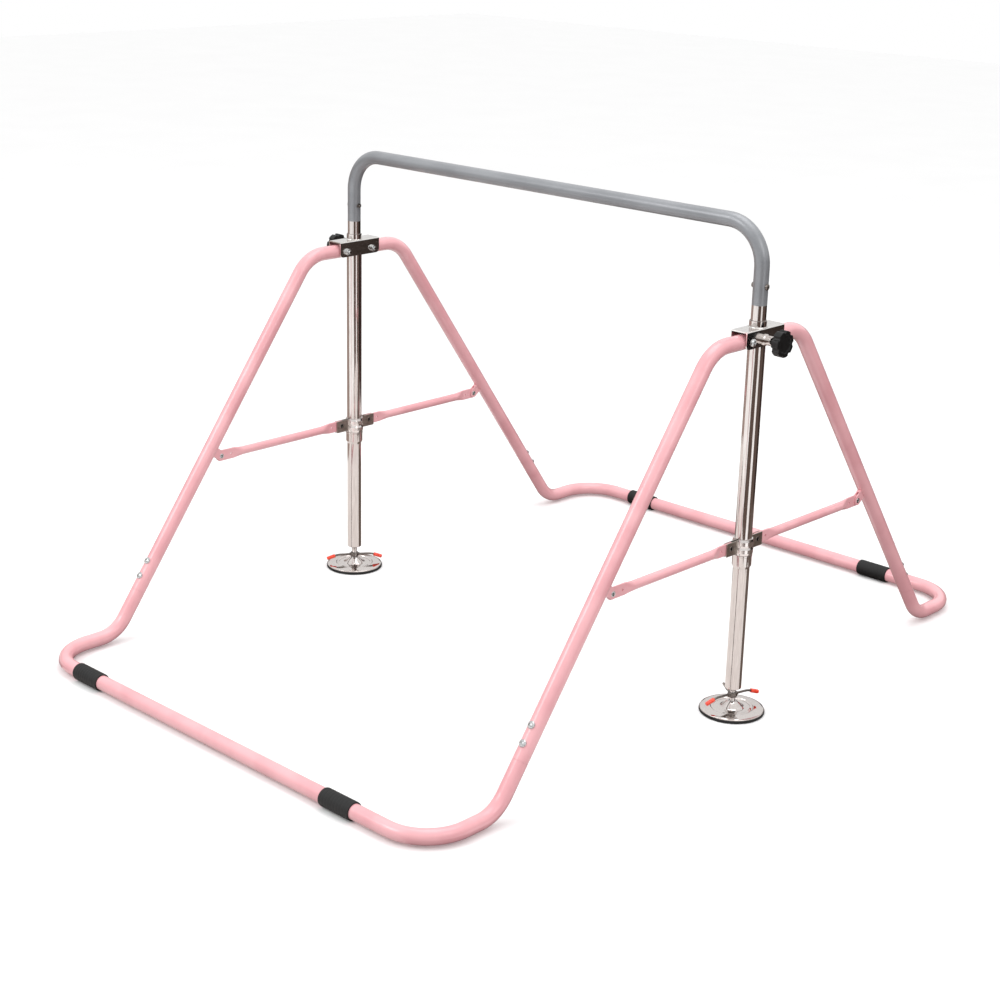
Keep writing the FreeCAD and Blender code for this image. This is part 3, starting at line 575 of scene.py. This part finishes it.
# ---- lock ----
def star_knob(side):
    """Seven lobes with round scallops, a raised rim round the flat face, and a plain neck."""
    node = side + "_lock_knob"
    low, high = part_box(node)
    centre = (low + high) / 2
    radius = (high.z - low.z) / 2 / MM
    length = (high.x - low.x) / MM
    neck = KNOB_NECK
    face = length - 1.3
    half_lobe = math.pi / KNOB_LOBES
    scallop = 5.0
    hollow = 4.0
    blunt = 0.6

    def lobed(at_radius, height, angle):
        """Pulls the rim in to the scallops; the centre stays round."""
        share = smooth_step(at_radius, 9.6, 17.0)
        sector = (angle + half_lobe) % (2 * half_lobe) - half_lobe
        from_valley = half_lobe - abs(sector)
        reach = radius + scallop - hollow
        across = reach * math.sin(from_valley)
        inside = scallop ** 2 - across ** 2
        valley = reach * math.cos(from_valley) - math.sqrt(inside) if inside > 0 else radius
        sharp = min(valley, radius)
        eased = -math.log(math.exp(-sharp / blunt) + math.exp(-radius / blunt)) * blunt + blunt * 0.1
        return at_radius * (1 - share + share * min(eased, radius) / radius), height

    outline = [(0, 3.0, 0), (4.2, 3.0, 0), (4.2, 0, 0.4), (8.6, 0, 0.8), (9.5, 2.0, 0.6), (9.5, neck, 0.8),
               (13, neck, 0.5), (16.5, neck, 0.5), (20, neck, 0.5), (radius, neck, 1.4),
               (radius, neck + 8, 0.1), (radius, length, 0.9), (21, length, 0.4), (19.2, length, 0.5),
               (18.4, face, 0.6), (14, face, 0.5), (9, face, 0.3), (0, face, 0)]
    shape = lathe(outline, False, lobed, 20 * KNOB_LOBES)
    start = Vector((low.x if SIDES[side] > 0 else high.x, centre.y, centre.z))
    turn = {"left": 0.1, "right": 0.35}[side]
    piece(side + "_star_knob", moved(shape, at(start, ALONG_X * SIDES[side], turn)), "black_plastic",
          side + "_knob", [node])


# ---- feet ----
def foot(side):
    """A stud, a pressed cover, a rubber cup and a turning handle with dipped ends."""
    x = middle(side + "_foot_cover").x
    floor_frame = Matrix.Translation((x, 0, 0)) @ Matrix.Scale(MM, 4)
    foot_stud(side, floor_frame)
    pressed_cover(side, floor_frame)
    rubber_cup(side, floor_frame)
    foot_handle(side, floor_frame)


def foot_stud(side, floor_frame):
    """Threaded up to just inside the post, then plain."""
    low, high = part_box(side + "_foot_stud")
    top = high.z / MM
    thread_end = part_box(side + "_post_lower_tube")[0].z / MM + 4
    plain = STUD_RADIUS - 0.3
    stud = joined(threaded(STUD_RADIUS, low.z / MM, thread_end, 1.75, 0.6),
                  lathe([(0, thread_end - 1, 0), (plain, thread_end - 1, 0), (plain, top, 0.5), (0, top, 0)]))
    piece(side + "_threaded_stud", moved(stud, floor_frame), "chrome", "posts", [side + "_foot_stud"])


def pressed_cover(side, floor_frame):
    """Thin sheet with a raised rim, a ring groove and a bell in the middle, and a washer on top."""
    top = [(68.5, 6.4, 0.4), (68.2, 8.2, 0.8), (64, 9.7, 1.6), (48, 11.0, 1.2), (46.4, 11.1, 0.8),
           (44.6, 8.8, 1.2), (41, 8.6, 1.5), (38.5, 9.6, 1.2), (36, 9.5, 1.2), (27, 9.4, 3.0),
           (22.5, 11.6, 3.0), (14.5, 20.0, 2.4), (10.5, 23.0, 1.6), (9.2, 24.0, 0.6), (COVER_BORE, 24.0, 0.3)]
    under = [(max(r - SHEET * 0.4, COVER_BORE), max(z - SHEET, 6.1), corner * 0.7)
             for r, z, corner in reversed(top)]
    cover = lathe(top + under, True, steps=FINE_RING_STEPS)
    piece(side + "_pressed_cover", moved(cover, floor_frame), "chrome", "posts", [side + "_foot_cover"])
    washer = lathe([(COVER_BORE, 24.0, 0.2), (9.0, 24.0, 0.5), (9.0, 25.4, 0.4),
                    (COVER_BORE, 25.4, 0.3)], True)
    piece(side + "_cover_washer", moved(washer, floor_frame), "zinc_steel", "posts")


def rubber_cup(side, floor_frame):
    """A thick disc, dished underneath, with a lip and a fine groove round its edge."""
    outline = [(0, 2.5, 0), (52, 2.5, 2), (58, 0.9, 2), (63, 0.0, 0.8), (68.8, 0.0, 0.6), (70, 1.2, 0.8),
               (70, 2.6, 0.4), (69.5, 3.0, 0.2), (70, 3.4, 0.4), (70, 5.0, 0.9), (69.0, 6.0, 0.5),
               (60, 6.0, 0.5), (0, 6.0, 0)]
    cup = lathe(outline, steps=FINE_RING_STEPS)
    piece(side + "_rubber_cup", moved(cup, floor_frame), "black_rubber", "posts", [side + "_suction_cup"])


def foot_handle(side, floor_frame):
    """A hub on the stud with two drooping arms and a short bare rod that rises inboard."""
    hub = lathe([(6.6, -5.5, 0.4), (9.2, -5.5, 0.9), (10.5, -3.6, 1.4), (10.5, 3.6, 1.4), (9.2, 5.5, 0.9),
                 (6.6, 5.5, 0.4)], True)
    boss = lathe([(0, 0, 0), (4.2, 0, 0.8), (4.2, 3.2, 1.2), (0, 3.2, 0)])
    cap = lathe([(0, -0.2, 0), (2.75, -0.2, 0), (2.75, 0.3, 0.1), (4.3, 0.0, 0.5), (4.6, 1.6, 0.8),
                 (4.6, 9, 2), (4.5, 17, 2), (4.55, 20, 1.5), (3.9, 22.0, 1.6), (0, 22.6, 0)])
    arms = []
    caps = []
    for sign in (-1, 1):
        start = Vector((sign * 8.5, 0, 0))
        bend = Vector((sign * ARM_BEND, 0, 0))
        tip = Vector((sign * ARM_REACH, 0, -ARM_DROOP))
        arms.append(rod(smooth_corners([(start, 0), (bend, 9), (tip, 0)]), ARM_RADIUS))
        arms.append(moved(boss, Matrix.Translation((sign * 9.4, 0, 0)) @ facing(ALONG_X * sign)))
        droop = (tip - bend).normalized()
        caps.append(moved(cap, Matrix.Translation(tip - droop * 20) @ facing(droop)))
    inboard = ALONG_Y * SIDES[side]
    short_end = inboard * 33 + ALONG_Z * 12
    sagging = short_end * 0.5 + inboard * 4 - ALONG_Z * 2
    arms.append(rod([inboard * 8, sagging, short_end], ARM_RADIUS))
    turned = Matrix.Rotation(math.radians(HANDLE_TURN[side]), 4, "Z")
    place = floor_frame @ Matrix.Translation((0, 0, HANDLE_HEIGHT[side])) @ turned
    body = side + "_handle"
    piece(side + "_turning_handle", moved(joined(hub, *arms), place), "dark_plate", body,
          [side + "_foot_handle"])
    piece(side + "_vinyl_tips", moved(joined(*caps), place), "red_vinyl", body, [side + "_handle_caps"])


# ---- rivets ----
def hollow_rivet(half_grip):
    """A tube with both ends rolled over, closed by a web inside."""
    end = half_grip + RIVET_ROLL
    lower = [(0, -0.5, 0), (RIVET_BORE, -0.5, 0.2), (RIVET_BORE, -end + 0.5, 0.6),
             (RIVET_BORE + 0.6, -end, 0.5), (RIVET_FLANGE - 0.6, -end, 0.5), (RIVET_FLANGE, -half_grip, 0.3),
             (RIVET_BARREL, -half_grip, 0)]
    upper = [(radius, -height, corner) for radius, height, corner in reversed(lower)]
    return lathe(lower + upper)


def rivets():
    """One at each end of every brace."""
    for side in SIDES:
        node = side + "_collar_rivets"
        low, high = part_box(node)
        half = (high.z - low.z) / 2
        shape = hollow_rivet((high.x - low.x) / 2 / MM - RIVET_ROLL)
        places = [Vector((middle(node).x, y, middle(node).z)) for y in (low.y + half, high.y - half)]
        both = joined(*[moved(shape, at(place, ALONG_X)) for place in places])
        piece(side + "_collar_hollow_rivets", both, "dark_plate", side + "_collar", [node])
    for end in ENDS:
        node = end + "_lug_rivets"
        low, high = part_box(node)
        lug_low, lug_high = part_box(end + "_left_lug")
        shape = hollow_rivet((lug_high.x - lug_low.x) / 2 / MM)
        shapes = []
        for side in SIDES:
            place = Vector((middle(f"{end}_{side}_lug").x, middle(node).y, middle(node).z))
            shapes.append(moved(shape, at(place, ALONG_X)))
        piece(end + "_lug_hollow_rivets", joined(*shapes), "zinc_steel", end + "_frame", [node])


# ---- frames ----
def leg_line(end):
    """The lower straight part of a leg: a point on its axis, its direction downwards, and the
    direction that faces out of the frame."""
    sign = ENDS[end]
    low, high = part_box(f"{end}_left_leg")
    down = Vector((0, sign * math.sin(LEG_SLOPE), -math.cos(LEG_SLOPE)))
    out = Vector((0, sign * math.cos(LEG_SLOPE), math.sin(LEG_SLOPE)))
    radius = LEG_RADIUS * MM
    reach = max(abs(low.y), abs(high.y))
    y = sign * (reach - radius * math.cos(LEG_SLOPE))
    return Vector((0, y, low.z + radius * math.sin(LEG_SLOPE))), down, out


def joint_screws(end):
    """Domed screws with a cross recess, two at each joint between a leg and the rail."""
    foot_point, down, out = leg_line(end)
    sunk = LEG_RADIUS - 1.1
    shapes = []
    for side, sign in SIDES.items():
        x = middle(f"{end}_{side}_leg").x
        for rise, turn in ((LOWER_SCREW, 0.3), (UPPER_SCREW, 1.0)):
            head = lathe(dome(8.0, 3.0, 2.4, 24), False, cross_recess(0.8, 3.6, 2.0, 2.6))
            seat = Vector((x, foot_point.y, foot_point.z)) - down * rise * MM + out * sunk * MM
            shapes.append(moved(head, at(seat, out, turn + sign * 0.2)))
            shank = lathe([(0, -5, 0), (3.0, -5, 0), (3.0, 0.5, 0), (0, 0.5, 0)])
            shapes.append(moved(shank, at(seat, out)))
    piece(end + "_leg_joint_screws", joined(*shapes), "zinc_steel", end + "_frame", [end + "_joint_screws"])


def rubber_sleeves(end):
    """Moulded sleeves with a bead at each end and shallow ribs between."""
    node = end + "_rubber_sleeves"
    low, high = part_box(node)
    centre = (low + high) / 2
    half = SLEEVE_LENGTH / 2
    outer = SLEEVE_RADIUS
    outline = [(SLEEVE_BORE, -half, 0.3), (outer - 0.5, -half, 0.9), (outer, -half + 3, 0.8)]
    ribs = 9
    pitch = (SLEEVE_LENGTH - 12) / ribs
    for rib in range(ribs):
        start = -half + 6 + rib * pitch
        outline += [(outer, start + 0.4, 0.5), (outer - 0.35, start + 1.4, 0.5),
                    (outer - 0.35, start + 2.2, 0.5), (outer, start + 3.2, 0.5)]
    outline += [(outer, half - 3, 0.8), (outer - 0.5, half, 0.9), (SLEEVE_BORE, half, 0.3)]
    shape = lathe(outline, True, steps=96)
    places = [low.x + half * MM, high.x - half * MM]
    both = joined(*[moved(shape, at(Vector((x, centre.y, centre.z)), ALONG_X)) for x in places])
    piece(end + "_rail_sleeves", both, "black_rubber", end + "_frame", [node])


def weld_ring(centre, radius, thickness, axis=ALONG_Z):
    """A rippled bead round a tube."""
    count = 120
    turned = facing(axis)
    points = []
    for k in range(count):
        angle = 2 * math.pi * k / count
        points.append(centre + turned @ Vector((radius * math.cos(angle), radius * math.sin(angle), 0)))
    return rod(points, thickness, 10, True, lambda s: 1 + 0.14 * math.sin(s / 0.0011))


def post_welds(side):
    """The bracket is welded to the post above its top plate."""
    shell_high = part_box(side + "_bracket")[1]
    centre = Vector((middle(side + "_post_upper_tube").x, 0, shell_high.z))
    shape = weld_ring(centre, radius=0.0186, thickness=0.0013)
    piece(side + "_bracket_weld", shape, "bracket_steel", "posts")


def lug_welds(end):
    """A bead along each side of the lug where it meets the leg."""
    foot_point, down, out = leg_line(end)
    bead = 0.0012
    length = 0.021
    steps = 28
    shapes = []
    for side in SIDES:
        low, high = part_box(f"{end}_{side}_lug")
        centre = (low + high) / 2
        along = (Vector((0, centre.y, centre.z)) - foot_point).dot(down)
        middle_of_seat = Vector((centre.x, 0, 0)) + foot_point + down * along
        half_width = (high.x - low.x) / 2 + 0.0004
        drop = math.sqrt((LEG_RADIUS * MM) ** 2 - half_width ** 2)
        for sign in (-1, 1):
            start = middle_of_seat - out * drop + ALONG_X * sign * half_width
            points = [start + down * length * (k / steps - 0.5) for k in range(steps + 1)]
            shapes.append(rod(points, bead, 10, False, lambda s: 1 + 0.16 * math.sin(s / 0.0009)))
    piece(end + "_lug_welds", joined(*shapes), "pink_powder_coat", end + "_frame")


# ---- finishes of the carried-over parts ----
def dress(node, finish):
    target = frame["nodes"][node]
    target.data.materials.clear()
    target.data.materials.append(finishes[finish])


def dress_all():
    slots = {row["node"]: row["material_slot"] for row in frame["record"]["subparts"]}
    for node, slot in slots.items():
        if "collar" in node and "half" in node:
            dress(node, "collar_steel")
        else:
            dress(node, slot)


# ---- stage ----
def soft_light(name, place, target, size, power):
    data = bpy.data.lights.new(name, "AREA")
    data.shape = "RECTANGLE"
    data.size, data.size_y = size
    data.energy = power
    light = bpy.data.objects.new(name, data)
    light.matrix_world = Matrix.Translation(place) @ facing(Vector(place) - Vector(target))
    bpy.context.scene.collection.objects.link(light)


def stage_plane(name, corners, material):
    mesh = bpy.data.meshes.new(name)
    mesh.from_pydata(corners, [], [(0, 1, 2, 3)])
    mesh.materials.append(material)
    made = bpy.data.objects.new(name, mesh)
    bpy.context.scene.collection.objects.link(made)
    return made


def room_sector(name, start, end, colours, reach=(1.5, 6.0), top=1.3, centre=0.0, rise=0.002):
    """Part of the dark room round the white floor, between two bearings. Only shiny surfaces
    show it: a stretch of floor, then a wall if `top` is above zero."""
    count = max(2, int(abs(end - start) / 6))
    points = []
    for k in range(count + 1):
        bearing = math.radians(start + (end - start) * k / count)
        away = Vector((math.cos(bearing), math.sin(bearing), 0))
        foot_of_wall = ALONG_X * centre + away * reach[1]
        points += [ALONG_X * centre + away * reach[0] + ALONG_Z * rise, foot_of_wall + ALONG_Z * rise,
                   foot_of_wall + ALONG_Z * (top + rise)]
    faces = []
    for k in range(count):
        for strip in (0, 1) if top else (0,):
            low = 3 * k + strip
            faces.append((low, low + 1, low + 4, low + 3))
    mesh = bpy.data.meshes.new(name)
    mesh.from_pydata(points, [], faces)
    card = Recipe(name, Roughness=1.0, Specular_IOR_Level=0.0)
    streak = card.noise(0.3, 2, (1, 1, 0.1))
    card.shade(Base_Color=card.mix(streak, *colours))
    mesh.materials.append(card.material)
    made = bpy.data.objects.new(name, mesh)
    bpy.context.scene.collection.objects.link(made)
    made.visible_camera = False
    made.visible_diffuse = False
    made.visible_shadow = False
    made.visible_transmission = False


def build_world():
    """White to the eye, and a soft sky for the light: full from above, weaker from below."""
    world = bpy.data.worlds.new("studio")
    bpy.context.scene.world = world
    world.use_nodes = True
    nodes = world.node_tree.nodes
    links = world.node_tree.links
    sky = nodes["Background"]
    direction = nodes.new("ShaderNodeTexCoord")
    height = nodes.new("ShaderNodeSeparateXYZ")
    links.new(direction.outputs["Generated"], height.inputs[0])
    ramp = nodes.new("ShaderNodeMapRange")
    for socket, value in (("From Min", -0.5), ("From Max", 0.6), ("To Min", 0.5), ("To Max", 1.04)):
        ramp.inputs[socket].default_value = value
    links.new(height.outputs["Z"], ramp.inputs["Value"])
    links.new(ramp.outputs[0], sky.inputs["Strength"])
    sky.inputs["Color"].default_value = (1, 1, 1, 1)
    seen = nodes.new("ShaderNodeBackground")
    seen.inputs["Color"].default_value = (1, 1, 1, 1)
    rays = nodes.new("ShaderNodeLightPath")
    choice = nodes.new("ShaderNodeMixShader")
    links.new(rays.outputs["Is Camera Ray"], choice.inputs[0])
    links.new(sky.outputs[0], choice.inputs[1])
    links.new(seen.outputs[0], choice.inputs[2])
    links.new(choice.outputs[0], nodes["World Output"].inputs["Surface"])


def build_stage():
    build_world()
    bpy.context.scene.view_settings.view_transform = "Standard"
    reach = 14.0
    drop = -0.0005
    corners = [(-reach, -reach, drop), (reach, -reach, drop), (reach, reach, drop), (-reach, reach, drop)]
    floor = stage_plane("studio_floor", corners, floor_paint())
    floor.visible_diffuse = False
    umber = (rgb(84, 70, 64), rgb(104, 90, 84))
    soot = (rgb(36, 30, 28), rgb(54, 46, 42))
    clay = (rgb(150, 132, 124), rgb(172, 156, 148))
    sectors = (("umber", -58, -19, umber), ("near_umber", 2, 45, umber), ("soot", 45, 133, soot),
               ("clay", 133, 221, clay))
    for name, start, end, colours in sectors:
        room_sector(name + "_sector", start, end, colours)
    room_sector("pale_floor", -180, 180, (rgb(228, 222, 219), rgb(240, 236, 234)), (0.0, 1.5), 0, rise=0.001)
    for side in SIDES:
        for start, end, colours in ((-93, -87, (rgb(44, 36, 34), rgb(70, 60, 56))),
                                    (32, 104, (rgb(88, 76, 70), rgb(116, 104, 98)))):
            name = f"{side}_streak_{end}"
            room_sector(name, start, end, colours, (0.04, 1.4), 0, middle(side + "_inner_tube").x, 0.003)
    soft_light("key", (-1.6, -3.6, 3.4), (0, 0, 0.5), (2.4, 1.6), 50)
    soft_light("fill", (3.6, -0.6, 2.8), (0, 0, 0.5), (1.6, 2.0), 18)
    soft_light("top", (0.2, 0.4, 4.0), (0, 0, 0.4), (3.0, 2.4), 40)


def build_camera():
    """The view of the object: forward from a yaw, a pitch and a slight roll."""
    yaw, pitch, roll = 0.7549, 0.32366, 0.02527
    data = bpy.data.cameras.new("camera")
    data.sensor_width = 36.0
    data.lens = 67.684
    level = math.cos(pitch)
    forward = Vector((-math.sin(yaw) * level, math.cos(yaw) * level, -math.sin(pitch)))
    side = Vector((math.cos(yaw), math.sin(yaw), 0))
    above = side.cross(forward)
    right = side * math.cos(roll) + above * math.sin(roll)
    up = above * math.cos(roll) - side * math.sin(roll)
    camera = bpy.data.objects.new("camera", data)
    turned = Matrix((right, up, -forward)).transposed().to_4x4()
    camera.matrix_world = Matrix.Translation((2.75022, -3.0246, 1.69452)) @ turned
    bpy.context.scene.collection.objects.link(camera)
    bpy.context.scene.camera = camera


build_camera()
build_stage()
dress_all()
for side in SIDES:
    bracket_hardware(side)
    star_knob(side)
    foot(side)
    post_welds(side)
bar_hardware()
rivets()
for end in ENDS:
    joint_screws(end)
    rubber_sleeves(end)
    lug_welds(end)
